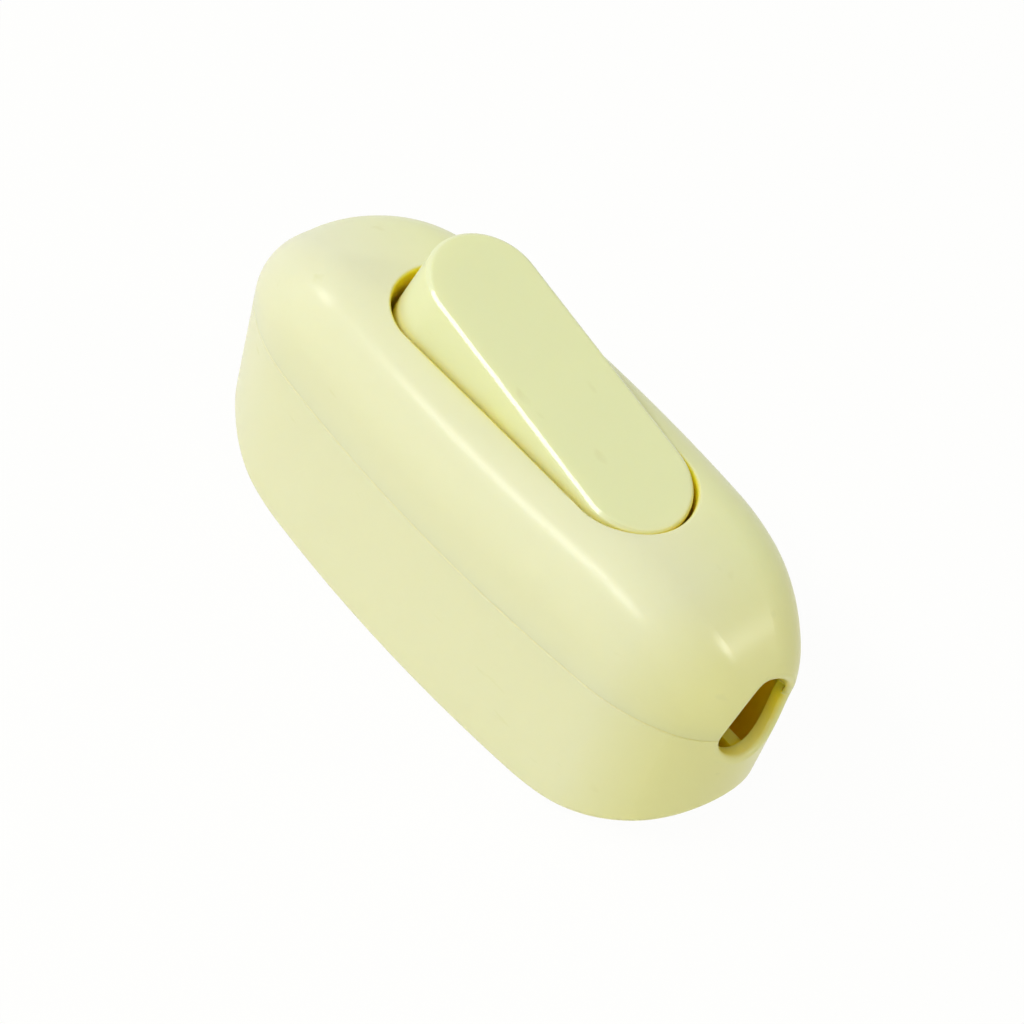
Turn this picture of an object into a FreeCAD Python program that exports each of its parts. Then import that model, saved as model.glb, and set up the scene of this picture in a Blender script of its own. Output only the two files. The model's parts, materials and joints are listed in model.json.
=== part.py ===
# Inline cord switch: a two-part moulded housing with a rocker in its top face.
# Lengths are in millimetres and angles in degrees.
# The origin is the middle of the underside. X runs along the cord and Z up to the rocker.
# Everything is drawn with the +X end of the rocker pressed.
import FreeCAD, Part
import itertools
import math
import os
import Sketcher

doc = FreeCAD.newDocument("inline_cord_switch")
# Driving sizes
SIZES = {
    # Housing outside
    "body_length": 60,  # length of the housing
    "body_width": 21.7,  # width of the housing
    "body_height": 26.2,  # height of the housing without the rocker
    "side_radius": 154.0,  # gentle plan curve of the long sides
    "parting_height": 15.95,  # height of the joint between base and cover
    "nose_narrowing": 2.4,  # how much smaller the nose radius is than half the width
    "shoulder_radius": 17.1,  # plan radius between a long side and a nose
    "top_curve_run": 15.26,  # length of the curved end of the top, seen from the side
    "nose_land": 0.2,  # upright wall left above the joint at the tip of a nose
    "top_edge_radius": 6.14,  # rounding of the upper edge
    "bottom_curve_run": 14.5,  # length of the curved end of the underside
    "bottom_curve_rise": 7.1,  # rise of the underside at the tip of a nose
    "bottom_edge_radius": 0.8,  # rounding of the lower edge
    "joint_chamfer": 0.12,  # edge break along the joint
    # Housing inside
    "wall": 1.4,  # wall of both halves
    "lip_height": 1.0,  # height of the locating lip
    "lip_thickness": 0.6,  # thickness of the locating lip
    "lip_gap": 0.1,  # clearance around the lip
    "cord_radius": 3.7,  # radius of the cord holes
    "cord_edge_radius": 0.5,  # rounding of a cord hole's mouth
    "cord_hole_depth": 4.6,  # how far a cord hole is cut in from the end
    "rib_thickness": 1.1,  # rib below the cord
    "rib_drop": 0.3,  # rib below the lowest point of the cord hole
    # Rocker
    "slot_width": 10.9,  # width of the slot in the cover
    "slot_length": 32.0,  # length of the slot in the cover
    "slot_edge_radius": 0.25,  # rounding of the slot's upper edge
    "rocker_side_gap": 0.32,  # gap between rocker and slot at each side
    "rocker_end_gap": 1.1,  # how much shorter the rocker's face is at each end of the slot
    "rocker_flare": 0.5,  # how much longer the rocker's skirt is at each end
    "rocker_tilt": 12.7,  # tilt of the rocker at each end of its travel
    "pivot_depth": 2.7,  # rocker axis below the top of the cover
    "rocker_rise": 5.6,  # rocker face above its axis
    "rocker_skirt": 2.5,  # rocker skirt below its axis
    "rocker_edge_radius": 0.5,  # rounding of the rocker's upper edge
    "rocker_wall": 1.3,  # side wall of the rocker
    "rocker_face": 1.5,  # thickness of the rocker's face
    "trunnion_radius": 1.4,  # radius of the rocker's trunnions
    "trunnion_gap": 0.06,  # running clearance of the trunnions
    "collar_wall": 1.3,  # wall of the collar below the slot
    "collar_depth": 6.4,  # depth of the collar below the top of the cover
    # Plunger and its spring
    "stem_length": 9.0,  # rocker stem below the axis
    "stem_radius": 2.7,  # radius of the rocker stem
    "plunger_radius": 1.65,  # radius of the plunger
    "plunger_gap": 0.08,  # running clearance of the plunger
    "plunger_reach": 12.1,  # plunger tip below the axis
    "plunger_length": 7.1,  # length of the plunger with its round tip
    "spring_wire": 0.22,  # radius of the spring wire
    "spring_radius": 1.25,  # mean radius of the spring
    "spring_turns": 5,  # turns of the spring
    "spring_end_gap": 0.03,  # gap at each end of the spring
    # Contact lever
    "lever_tilt": 9.5,  # tilt of the lever at each end of its travel
    "lever_bend": 10.5,  # rise of each lever arm
    "lever_arm": 9.8,  # length of a lever arm
    "lever_width": 4.0,  # width of the lever
    "lever_thickness": 0.8,  # thickness of the lever
    "lever_clearance": 0.15,  # plunger tip above the lever at mid travel
    "pin_radius": 0.8,  # radius of the lever's cross pin
    "pin_drop": 1.05,  # cross pin axis below the top of the lever
    "pin_length": 6.4,  # length of the cross pin
    "pin_gap": 0.05,  # running clearance of the cross pin
    "contact_reach": 8.5,  # contact distance from the lever's axis
    "contact_radius": 1.2,  # radius of the contact heads
    "contact_height": 0.7,  # height of the moving contact's head
    "contact_shank": 0.6,  # radius of the contact shanks
    "contact_gap": 0.05,  # gap between closed contacts
    "plate_drop": 1.85,  # lever axis above the terminal plates
    # Terminals
    "plate_thickness": 0.8,  # thickness of the terminal plates
    "plate_width": 4.6,  # width of the terminal plates
    "ear_length": 3.2,  # length of the ears that carry the lever
    "ear_gap": 0.3,  # gap between lever and ears
    "ear_thickness": 0.7,  # thickness of the ears
    "tab_thickness": 0.8,  # thickness of the stop tab
    "terminal_screw_x": 13.0,  # terminal screw distance from the middle
    "terminal_screw_radius": 1.4,  # shank radius of the terminal screws
    "terminal_screw_length": 4.4,  # shank length of the terminal screws
    "terminal_head_radius": 2.2,  # head radius of the terminal screws
    "terminal_head_height": 1.6,  # head height of the terminal screws
    "washer_width": 4.4,  # side of the square washers
    "washer_thickness": 0.8,  # thickness of the square washers
    "thread_gap": 0.05,  # gap around a screw in its hole
    "slot_cut": 0.7,  # width of a screw slot
    "slot_cut_depth": 0.8,  # depth of a screw slot
    # Neutral link
    "link_length": 15.0,  # length of the neutral link
    "link_width": 3.4,  # width of the neutral link
    "link_height": 5.0,  # height of the neutral link
    "link_seat": 4.0,  # underside of the neutral link
    "link_wall_gap": 0.7,  # gap between the link and the housing wall
    "link_bore": 1.3,  # radius of the wire hole in the link
    "link_screw_x": 4.6,  # link screw distance from the middle
    "link_screw_radius": 1.1,  # shank radius of the link screws
    "link_head_radius": 1.6,  # head radius of the link screws
    "link_head_height": 1.3,  # head height of the link screws
    "link_stop": 0.6,  # height and gap of the link's end stops
    # Cord clamps
    "clamp_from_end": 7.7,  # cord clamp distance from the end
    "clamp_from_side": 6.35,  # clamp screw distance from the side
    "clamp_width": 3.4,  # width of a clamp bar
    "clamp_thickness": 1.8,  # thickness of a clamp bar
    "clamp_seat": 0.6,  # clamp seat above the joint
    "clamp_ridge": 0.8,  # height of the gripping ridge
    "saddle_drop": 3.4,  # cord saddle below the joint
    "saddle_thickness": 2.0,  # thickness of the cord saddle
    "clamp_screw_radius": 1.1,  # shank radius of the clamp screws
    "clamp_screw_length": 8.0,  # shank length of the clamp screws
    "clamp_head_radius": 1.65,  # head radius of the clamp screws
    "clamp_head_height": 1.4,  # head height of the clamp screws
    # Housing screws
    "screw_from_end": 12.6,  # housing screw distance from the end
    "screw_y": 5.8,  # housing screw distance from the cord axis
    "screw_radius": 1.4,  # shank radius of the housing screws
    "screw_tip_gap": 2.4,  # tip of a housing screw below the top of its boss
    "screw_head_radius": 2.5,  # head radius of the housing screws
    "screw_head_height": 1.8,  # head height of the housing screws
    "screw_recess": 5.4,  # depth of the recess for a screw head
    "screw_head_gap": 0.2,  # gap around a screw head
    "pillar_wall": 0.6,  # wall around a screw recess
    "boss_radius": 2.6,  # radius of the screw bosses in the cover
    "boss_top_gap": 2.8,  # top of a screw boss below the top of the cover
    "boss_roof": 1.0,  # plastic left above the pilot hole in a boss
}

sheet = doc.addObject("Spreadsheet::Sheet", "dims")
for row, (alias, value) in enumerate(SIZES.items(), start=1):
    sheet.set(f"A{row}", alias)
    sheet.set(f"B{row}", str(value))
    sheet.setAlias(f"B{row}", alias)
doc.recompute()

# Positions that follow from the sizes, as expressions
MARGIN = "1"
NOTHING = "0"
TOP = "dims.body_height"
JOINT = "dims.parting_height"
HALF_LENGTH = "(dims.body_length / 2)"
HALF_WIDTH = "(dims.body_width / 2)"
NOSE_RADIUS = f"({HALF_WIDTH} - dims.nose_narrowing)"
NOSE_X = f"({HALF_LENGTH} - {NOSE_RADIUS})"
SIDE_Y = f"({HALF_WIDTH} - dims.side_radius)"
BEYOND_X = f"({HALF_LENGTH} + {MARGIN})"
BEYOND_Y = f"({HALF_WIDTH} + {MARGIN})"
FLOOR = "dims.wall"
EDGE_DROP = f"(dims.body_height - {JOINT} - dims.nose_land)"
EDGE_SPAN = f"({EDGE_DROP}^2 + dims.top_curve_run^2 - 2 * dims.top_curve_run * dims.top_edge_radius)"
TOP_CURVE = f"({EDGE_SPAN} / (2 * ({EDGE_DROP} - dims.top_edge_radius)))"
BOTTOM_CURVE = "((dims.bottom_curve_run^2 + dims.bottom_curve_rise^2) / (2 * dims.bottom_curve_rise))"
LIP_INSET = "(dims.wall - dims.lip_thickness)"
REBATE_INSET = f"({LIP_INSET} - dims.lip_gap)"
REBATE_END = "(dims.wall + dims.lip_gap)"
PIVOT_Z = "(dims.body_height - dims.pivot_depth)"
ROCKER_WIDTH = "(dims.slot_width - 2 * dims.rocker_side_gap)"
ROCKER_LENGTH = "(dims.slot_length - 2 * dims.rocker_end_gap)"
COLLAR_WIDTH = "(dims.slot_width + 2 * dims.collar_wall)"
COLLAR_LENGTH = "(dims.slot_length + 2 * dims.collar_wall)"
BORE_RADIUS = "(dims.plunger_radius + dims.plunger_gap)"
PLUNGER_TOP = "(dims.plunger_length - dims.plunger_reach)"
LEVER_Z = f"({PIVOT_Z} - dims.plunger_reach - dims.lever_clearance - dims.pin_drop)"
LEVER_UNDERSIDE = "(dims.pin_drop - dims.lever_thickness)"
CLOSED_SLOPE = "(dims.lever_bend - dims.lever_tilt)"
PLATE_TOP = f"({LEVER_Z} - dims.plate_drop)"
TERMINAL_Z = f"({PLATE_TOP} - dims.plate_thickness)"
PLATE_END = "(dims.terminal_screw_x + dims.plate_width / 2)"
EAR_INNER = "(dims.lever_width / 2 + dims.ear_gap)"
EAR_OUTER = f"({EAR_INNER} + dims.ear_thickness)"
CONTACT_INNER = "(dims.contact_reach - dims.contact_radius)"
CLOSED_DROP = f"(({LEVER_UNDERSIDE} - dims.contact_height) * cos({CLOSED_SLOPE}))"
CLOSED_Z = f"({LEVER_Z} + {CLOSED_DROP} + {CONTACT_INNER} * sin({CLOSED_SLOPE}))"
FIXED_TOP = f"({CLOSED_Z} - dims.contact_gap)"
CONTACT_X = f"(dims.contact_reach * cos({CLOSED_SLOPE}))"
ARM_Z = f"({LEVER_Z} + {LEVER_UNDERSIDE} * cos({CLOSED_SLOPE}) + {CONTACT_INNER} * sin({CLOSED_SLOPE}))"
TAB_TOP = f"({ARM_Z} - dims.contact_gap)"
LINK_OUTER = f"({HALF_WIDTH} - dims.wall - dims.link_wall_gap)"
LINK_INNER = f"({LINK_OUTER} - dims.link_width)"
LINK_Y = f"({LINK_OUTER} - dims.link_width / 2)"
LINK_TOP = "(dims.link_seat + dims.link_height)"
CLAMP_Z = "(dims.parting_height + dims.clamp_seat)"
CLAMP_TOP = f"({CLAMP_Z} + dims.clamp_thickness)"
SADDLE_TOP = "(dims.parting_height - dims.saddle_drop)"
RIB_TOP = "(dims.parting_height - dims.cord_radius - dims.rib_drop)"
RECESS_RADIUS = "(dims.screw_head_radius + dims.screw_head_gap)"
PILLAR_RADIUS = f"({RECESS_RADIUS} + dims.pillar_wall)"
BOSS_TOP = "(dims.body_height - dims.boss_top_gap)"
SCREW_X = f"({HALF_LENGTH} - dims.screw_from_end)"
CLAMP_X = f"({HALF_LENGTH} - dims.clamp_from_end)"
CLAMP_Y = f"({HALF_WIDTH} - dims.clamp_from_side)"
TERMINAL_TIP = f"({PLATE_TOP} + dims.washer_thickness - dims.terminal_screw_length)"

PLACES = ("edge", "start", "end", "centre")
START = PLACES.index("start")
END = PLACES.index("end")
CENTRE = PLACES.index("centre")
UP = FreeCAD.Vector(0, 0, 1)
TURNS = {
    "Z": FreeCAD.Rotation(),
    "X": FreeCAD.Rotation(FreeCAD.Vector(0, 1, 0), 90),
    "Y": FreeCAD.Rotation(FreeCAD.Vector(1, 0, 0), -90),
}


def number(expression):
    """Work out what an expression is worth now."""
    return float(sheet.evalExpression(expression))


def minus(expression):
    """Turn the sign of an expression."""
    return f"(-({expression}))"


def bind(item, bindings):
    """Tie properties of one feature to the sizes."""
    for name, expression in bindings.items():
        item.setExpression(name, expression)


# Sketch helpers
def new_body(name):
    """Start one body."""
    return doc.addObject("PartDesign::Body", name)


def new_sketch(body, plane, height=NOTHING):
    """Start a sketch on a plane of the body's own origin."""
    sketch = body.newObject("Sketcher::SketchObject", body.Name + "_sketch")
    planes = [item for item in body.Origin.OriginFeatures if item.Role == plane]
    sketch.AttachmentSupport = [(planes[0], "")]
    sketch.MapMode = "FlatFace"
    sketch.setExpression("AttachmentOffset.Base.z", height)
    return sketch


def hold(sketch, kind, places, expression):
    """Add one dimension that follows an expression."""
    index = sketch.addConstraint(Sketcher.Constraint(kind, *places, number(expression)))
    sketch.setExpression(f"Constraints[{index}]", expression)


def from_origin(shape, place):
    """Name a sketch's origin and one point of a shape, for a distance between them."""
    origin = -1
    return origin, START, shape, place


def hold_point(sketch, shape, place, across, along):
    """Hold one point at two distances from the origin."""
    hold(sketch, "DistanceX", from_origin(shape, place), across)
    hold(sketch, "DistanceY", from_origin(shape, place), along)


def arc(centre, radius, start, end):
    """Make an arc from its centre, its radius and two angles in radians."""
    circle = Part.Circle(FreeCAD.Vector(*centre, 0), UP, radius)
    return Part.ArcOfCircle(circle, start, end)


def line(start, end):
    """Make a straight line between two points."""
    return Part.LineSegment(FreeCAD.Vector(*start, 0), FreeCAD.Vector(*end, 0))


def join_smoothly(sketch, shapes):
    """Join each shape to the next one without a corner."""
    for shape, following in zip(shapes, shapes[1:] + shapes[:1]):
        sketch.addConstraint(Sketcher.Constraint("Tangent", shape, END, following, START))


def draw_polygon(sketch, corners):
    """Draw straight lines through corners that follow expressions."""
    points = [(number(across), number(along)) for across, along in corners]
    shapes = []
    for start, end in zip(points, points[1:] + points[:1]):
        shapes.append(sketch.addGeometry(line(start, end)))
    for shape, following in zip(shapes, shapes[1:] + shapes[:1]):
        sketch.addConstraint(Sketcher.Constraint("Coincident", shape, END, following, START))
    for shape, (across, along) in zip(shapes, corners):
        hold_point(sketch, shape, START, across, along)


def draw_stadium(sketch, length, width):
    """Draw a slot shape: two straight sides and two half circles."""
    radius = f"(({width}) / 2)"
    centre = f"(({length}) / 2 - {radius})"
    reach = number(centre)
    bend = number(radius)
    right = math.pi / 2
    shapes = [
        sketch.addGeometry(line((reach, bend), (-reach, bend))),
        sketch.addGeometry(arc((-reach, 0), bend, right, 3 * right)),
        sketch.addGeometry(line((-reach, -bend), (reach, -bend))),
        sketch.addGeometry(arc((reach, 0), bend, -right, right)),
    ]
    join_smoothly(sketch, shapes)
    for shape, across in ((shapes[1], minus(centre)), (shapes[3], centre)):
        hold_point(sketch, shape, CENTRE, across, NOTHING)
        hold(sketch, "Radius", (shape,), radius)


def shoulder_centre():
    """Find where a shoulder's centre lies, between a long side and a nose."""
    shoulder = number("dims.shoulder_radius")
    nose_x = number(NOSE_X)
    side_y = number(SIDE_Y)
    from_side = number("dims.side_radius") - shoulder
    from_nose = shoulder - number(NOSE_RADIUS)
    span = math.hypot(nose_x, side_y)
    along = (from_side**2 - from_nose**2 + span**2) / (2 * span)
    aside = math.sqrt(from_side**2 - along**2)
    return (along * nose_x + aside * side_y) / span, side_y + (aside * nose_x - along * side_y) / span


def draw_plan(sketch, inset):
    """Draw the housing's plan, set in from the outside: long sides, shoulders and noses."""
    nose = f"({NOSE_RADIUS} - ({inset}))"
    shoulder = f"(dims.shoulder_radius - ({inset}))"
    side = f"(dims.side_radius - ({inset}))"
    nose_x = number(NOSE_X)
    side_y = number(SIDE_Y)
    across, along = shoulder_centre()
    right = math.pi / 2
    straight = 2 * right
    turn = 4 * right
    lean_out = math.atan2(along - side_y, across)
    split = math.atan2(-along, nose_x - across)
    tip, bend, sweep = number(nose), number(shoulder), number(side)
    shapes = [
        sketch.addGeometry(arc((0, side_y), sweep, lean_out, straight - lean_out)),
        sketch.addGeometry(arc((-across, along), bend, straight - lean_out, straight - split)),
        sketch.addGeometry(arc((-nose_x, 0), tip, straight - split, straight + split)),
        sketch.addGeometry(arc((-across, -along), bend, straight + split, straight + lean_out)),
        sketch.addGeometry(arc((0, -side_y), sweep, straight + lean_out, turn - lean_out)),
        sketch.addGeometry(arc((across, -along), bend, turn - lean_out, turn - split)),
        sketch.addGeometry(arc((nose_x, 0), tip, -split, split)),
        sketch.addGeometry(arc((across, along), bend, split, lean_out)),
    ]
    join_smoothly(sketch, shapes)
    far_side, _, rear_nose, _, near_side, _, front_nose, _ = shapes
    for shape in shapes[1::2]:
        hold(sketch, "Radius", (shape,), shoulder)
    for shape, centre in ((rear_nose, minus(NOSE_X)), (front_nose, NOSE_X)):
        hold(sketch, "Radius", (shape,), nose)
        hold_point(sketch, shape, CENTRE, centre, NOTHING)
    for shape, centre in ((far_side, SIDE_Y), (near_side, minus(SIDE_Y))):
        hold(sketch, "Radius", (shape,), side)
        hold_point(sketch, shape, CENTRE, NOTHING, centre)


def draw_profile(sketch, flat_z, run, radius, inset, upward):
    """Draw the housing from the side: a flat that curves over a quarter turn into each end."""
    sign = 1 if upward else -1
    flat_x = f"({HALF_LENGTH} - {run})"
    bend = f"({radius} - ({inset}))"
    level = f"({flat_z} - ({inset}))" if upward else f"({flat_z} + ({inset}))"
    centre_z = f"({level} - {bend})" if upward else f"({level} + {bend})"
    close_z = minus(TOP) if upward else f"(2 * {TOP})"
    end_x = f"({flat_x} + {bend})"
    flat = number(flat_x)
    turn = number(bend)
    centre = number(centre_z)
    right = sign * math.pi / 2
    straight = sign * math.pi
    front = sketch.addGeometry(arc((flat, centre), turn, *sorted((0, right))))
    face = sketch.addGeometry(line((flat, number(level)), (-flat, number(level))))
    rear = sketch.addGeometry(arc((-flat, centre), turn, *sorted((right, straight))))
    ends = [(number(minus(end_x)), centre), (number(minus(end_x)), number(close_z))]
    ends += [(number(end_x), number(close_z)), (number(end_x), centre)]
    rear_end, closing, front_end = [
        sketch.addGeometry(line(start, end)) for start, end in zip(ends, ends[1:])
    ]
    flat_place, end_place = (END, START) if upward else (START, END)
    sketch.addConstraint(Sketcher.Constraint("Tangent", front, flat_place, face, START))
    sketch.addConstraint(Sketcher.Constraint("Tangent", face, END, rear, end_place))
    sketch.addConstraint(Sketcher.Constraint("Tangent", rear, flat_place, rear_end, START))
    sketch.addConstraint(Sketcher.Constraint("Coincident", rear_end, END, closing, START))
    sketch.addConstraint(Sketcher.Constraint("Coincident", closing, END, front_end, START))
    sketch.addConstraint(Sketcher.Constraint("Tangent", front_end, END, front, end_place))
    hold_point(sketch, face, START, flat_x, level)
    hold_point(sketch, face, END, minus(flat_x), level)
    hold_point(sketch, closing, START, minus(end_x), close_z)
    hold_point(sketch, closing, END, end_x, close_z)


# Feature helpers
def pad(body, sketch, length, symmetric=False):
    """Raise a sketch into a solid."""
    feature = body.newObject("PartDesign::Pad", body.Name + "_pad")
    feature.Profile = sketch
    feature.SideType = "Symmetric" if symmetric else "One side"
    feature.setExpression("Length", length)
    doc.recompute()
    return feature


def pocket_through(body, sketch):
    """Cut a sketch right through, both ways."""
    feature = body.newObject("PartDesign::Pocket", body.Name + "_pocket")
    feature.Profile = sketch
    feature.Type = "ThroughAll"
    feature.SideType = "Symmetric"
    doc.recompute()
    return feature


def loft(body, upper, lower):
    """Join two outlines into a solid with straight sides."""
    feature = body.newObject("PartDesign::AdditiveLoft", body.Name + "_loft")
    feature.Profile = upper
    feature.Sections = [lower]
    feature.Ruled = True
    doc.recompute()
    return feature


def cut_joint(body, upward):
    """Cut one half of the housing off at the joint."""
    sketch = new_sketch(body, "XY_Plane", JOINT)
    far = f"(2 * {BEYOND_X})"
    near = minus(far)
    draw_polygon(sketch, [(far, far), (near, far), (near, near), (far, near)])
    feature = body.newObject("PartDesign::Pocket", body.Name + "_joint")
    feature.Profile = sketch
    feature.Type = "ThroughAll"
    feature.Reversed = not upward
    doc.recompute()
    return feature


def is_upright(face):
    """Tell whether a face is an upright wall."""
    surface = face.Surface
    if isinstance(surface, Part.Cylinder):
        return abs(surface.Axis.z) > abs(surface.Axis.y)
    middle = [sum(face.ParameterRange[:2]) / 2, sum(face.ParameterRange[2:]) / 2]
    return abs(face.normalAt(*middle).z) < abs(math.sin(math.radians(1)))


def face_edges(shape, wanted):
    """Name the edges of the faces that are wanted."""
    names = []
    for index, edge in enumerate(shape.Edges, start=1):
        if any(edge.isSame(other) for face in shape.Faces if wanted(face) for other in face.Edges):
            names.append(f"Edge{index}")
    return names


def rim_edges(shape, wanted):
    """Name the edges between the upright walls and the wanted faces that close them."""
    walls = set(face_edges(shape, is_upright))
    caps = set(face_edges(shape, lambda face: not is_upright(face) and wanted(face)))
    return sorted(walls & caps)


def round_edges(body, base, names, radius):
    """Round some edges of a body."""
    feature = body.newObject("PartDesign::Fillet", body.Name + "_rounding")
    feature.Base = (base, names)
    feature.setExpression("Radius", radius)
    doc.recompute()
    return feature


def break_edges(body, base, names, width):
    """Chamfer some edges of a body."""
    feature = body.newObject("PartDesign::Chamfer", body.Name + "_edge_break")
    feature.Base = (base, names)
    feature.setExpression("Size", width)
    doc.recompute()
    return feature


def box(name, across, along, height):
    """Make a block from pairs of limits along X, Y and Z."""
    item = doc.addObject("Part::Box", name)
    for prop, axis, (low, high) in (
        ("Length", "x", across),
        ("Width", "y", along),
        ("Height", "z", height),
    ):
        item.setExpression(prop, f"({high}) - ({low})")
        item.setExpression(f"Placement.Base.{axis}", low)
    return item


def centred(span):
    """Give the limits of a span that lies evenly about zero."""
    return minus(f"({span}) / 2"), f"({span}) / 2"


def cylinder(name, radius, place, length, axis="Z"):
    """Make a round bar from the middle of its starting face."""
    item = doc.addObject("Part::Cylinder", name)
    item.Placement = FreeCAD.Placement(FreeCAD.Vector(), TURNS[axis])
    bind(item, {"Radius": radius, "Height": length})
    bind(item, dict(zip(("Placement.Base.x", "Placement.Base.y", "Placement.Base.z"), place)))
    return item


def fuse(name, items):
    """Join solids into one."""
    item = doc.addObject("Part::MultiFuse", name)
    item.Shapes = items
    item.Refine = True
    return item


def common(name, items):
    """Keep only what all the solids share."""
    item = doc.addObject("Part::MultiCommon", name)
    item.Shapes = items
    item.Refine = True
    return item


def cut(name, base, tools):
    """Cut tools out of a solid."""
    item = doc.addObject("Part::Cut", name)
    item.Base = base
    item.Tool = tools[0] if len(tools) == 1 else fuse(name + "_tools", tools)
    item.Refine = True
    return item


def group(name, items):
    """Keep like pieces together as separate solids."""
    item = doc.addObject("Part::Compound", name)
    item.Links = items
    return item


def lean(item, angle, height):
    """Turn a piece about the Y direction and lift its axis to a height."""
    item.Placement = FreeCAD.Placement(FreeCAD.Vector(), FreeCAD.Rotation(FreeCAD.Vector(0, 1, 0), 1))
    item.setExpression("Placement.Rotation.Angle", angle)
    item.setExpression("Placement.Base.z", height)


# Housing shapes
def half_form(name, inset, upward):
    """Make one half of the housing's form, set in from the outside."""
    body = new_body(name)
    side_view = new_sketch(body, "XZ_Plane")
    if upward:
        draw_profile(side_view, TOP, "dims.top_curve_run", TOP_CURVE, inset, True)
    else:
        draw_profile(side_view, NOTHING, "dims.bottom_curve_run", BOTTOM_CURVE, inset, False)
    pad(body, side_view, f"2 * {BEYOND_Y}", symmetric=True)
    plan = new_sketch(body, "XY_Plane")
    draw_plan(plan, inset)
    reach = f"(2 * {BEYOND_X})"
    side = f"(2 * {BEYOND_Y})"
    corners = [(reach, side), (minus(reach), side), (minus(reach), minus(side)), (reach, minus(side))]
    draw_polygon(plan, corners)
    trimmed = pocket_through(body, plan)
    rim = rim_edges(trimmed.Shape, lambda face: (face.CenterOfMass.z > number(JOINT)) == upward)
    return body, trimmed, rim


def lies_on_joint(face):
    """Tell whether a face lies in the joint between base and cover."""
    return math.isclose(face.BoundBox.ZMin, face.BoundBox.ZMax, abs_tol=1e-4) and math.isclose(
        face.CenterOfMass.z, number(JOINT), abs_tol=1e-4
    )


def outer_form(name, upward):
    """Make one half of the housing's outside with its rounded edge and its edge break."""
    body, trimmed, rim = half_form(name, NOTHING, upward)
    radius = "dims.top_edge_radius" if upward else "dims.bottom_edge_radius"
    round_edges(body, trimmed, rim, radius)
    open_cord_hole(body, BEYOND_X, False)
    opened = open_cord_hole(body, minus(BEYOND_X), True)
    round_edges(body, opened, mouth_edges(opened.Shape), "dims.cord_edge_radius")
    halved = cut_joint(body, upward)
    break_edges(body, halved, face_edges(halved.Shape, lies_on_joint), "dims.joint_chamfer")
    return body


def open_cord_hole(body, place, rearward):
    """Cut a cord hole into one end, centred on the joint."""
    sketch = new_sketch(body, "YZ_Plane", place)
    centre = FreeCAD.Vector(0, number(JOINT), 0)
    shape = sketch.addGeometry(Part.Circle(centre, UP, number("dims.cord_radius")))
    hold(sketch, "Radius", (shape,), "dims.cord_radius")
    hold_point(sketch, shape, CENTRE, NOTHING, JOINT)
    feature = body.newObject("PartDesign::Pocket", body.Name + "_cord_hole")
    feature.Profile = sketch
    feature.setExpression("Length", f"dims.cord_hole_depth + {MARGIN}")
    feature.Reversed = rearward
    doc.recompute()
    return feature


def mouth_edges(shape):
    """Name the outer edges of the cord holes."""
    bores = set(face_edges(shape, is_bore))
    outsides = set(face_edges(shape, lambda face: not is_bore(face) and not is_flat(face)))
    return sorted(bores & outsides)


def is_bore(face):
    """Tell whether a face is the wall of a cord hole."""
    return isinstance(face.Surface, Part.Cylinder) and abs(face.Surface.Axis.x) > abs(face.Surface.Axis.z)


def is_flat(face):
    """Tell whether a face is flat."""
    return isinstance(face.Surface, Part.Plane)


def is_slot_wall(face):
    """Tell whether a face is a wall of the rocker's slot."""
    box = face.BoundBox
    length = number("dims.slot_length / 2 + dims.slot_edge_radius")
    width = number("dims.slot_width / 2 + dims.slot_edge_radius")
    return is_upright(face) and max(-box.XMin, box.XMax) < length and max(-box.YMin, box.YMax) < width


def open_slot(body):
    """Cut the rocker's slot through the cover and round its upper edge."""
    sketch = new_sketch(body, "XY_Plane")
    draw_stadium(sketch, "dims.slot_length", "dims.slot_width")
    opened = pocket_through(body, sketch)
    walls = face_edges(opened.Shape, is_slot_wall)
    tops = face_edges(opened.Shape, lambda face: not is_upright(face) and not lies_on_joint(face))
    round_edges(body, opened, sorted(set(walls) & set(tops)), "dims.slot_edge_radius")


def cavity_form(name, upward):
    """Make the hollow of one half of the housing."""
    body, trimmed, rim = half_form(name, "dims.wall", upward)
    if upward:
        round_edges(body, trimmed, rim, "dims.top_edge_radius - dims.wall")
    cut_joint(body, upward)
    return body


def plan_ring(name, outer, inner, low, high):
    """Make an upright ring that follows the housing's plan."""
    body = new_body(name)
    sketch = new_sketch(body, "XY_Plane", low)
    draw_plan(sketch, outer)
    draw_plan(sketch, inner)
    pad(body, sketch, f"({high}) - ({low})")
    return body


def stadium_solid(name, length, width, low, high):
    """Make an upright solid with a slot-shaped plan."""
    body = new_body(name)
    sketch = new_sketch(body, "XY_Plane", low)
    draw_stadium(sketch, length, width)
    return body, pad(body, sketch, f"({high}) - ({low})")


def cord_holes(name):
    """Make cutters for the two cord holes, on the joint."""
    start = f"({HALF_LENGTH} - dims.cord_hole_depth)"
    length = f"dims.cord_hole_depth + {MARGIN}"
    rear_start = minus(BEYOND_X)
    return [
        cylinder(name + "_front", "dims.cord_radius", (start, NOTHING, JOINT), length, "X"),
        cylinder(name + "_rear", "dims.cord_radius", (rear_start, NOTHING, JOINT), length, "X"),
    ]


def diagonal(maker, name):
    """Place one piece at each housing screw, on opposite corners."""
    places = ((SCREW_X, "dims.screw_y"), (minus(SCREW_X), minus("dims.screw_y")))
    return [maker(f"{name}_{index}", place) for index, place in enumerate(places)]


def at_clamp_screws(maker, name):
    """Place one piece at each clamp screw."""
    ends = (CLAMP_X, minus(CLAMP_X))
    sides = (CLAMP_Y, minus(CLAMP_Y))
    places = itertools.product(ends, sides)
    return [maker(f"{name}_{index}", place) for index, place in enumerate(places)]


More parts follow.
